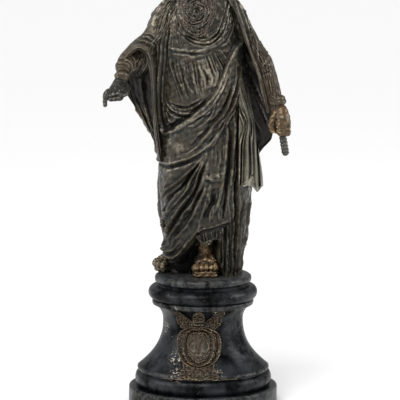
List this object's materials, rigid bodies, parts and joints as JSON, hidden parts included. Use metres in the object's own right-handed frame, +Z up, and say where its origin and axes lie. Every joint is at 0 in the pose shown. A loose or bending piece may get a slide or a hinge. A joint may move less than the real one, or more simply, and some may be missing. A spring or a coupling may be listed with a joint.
{
  "type": "terracotta saint statue",
  "caption": "Standing draped saint in bronzed terracotta, one hand held out, the other gripping a short rod, on a round black waisted pedestal with a relief coat of arms.",
  "frame": {"origin": "middle of the pedestal's flat underside, on the surface that it stands on", "axes": "+Z up; the saint faces -Y; +X to the right of someone who faces the saint"},
  "size_m": [0.2292, 0.187, 0.585],
  "materials": {
    "bronzed_terracotta": "terracotta painted and waxed as bronze: olive-black in the hollows, worn to brown on the folds, satin sheen",
    "black_socle": "black lacquered terracotta, satin, rubbed and dusty on the edges, with pale chips",
    "rubbed_bronze": "brown bronze paint, worn on the high points",
    "dark_rod": "dark grey-brown bronze paint with spiral grooves"
  },
  "bodies": {
    "root": {"pedestal": "black_socle", "coat_of_arms": "rubbed_bronze", "saint": "bronzed_terracotta", "rod": "dark_rod"}
  },
  "joints": []
}
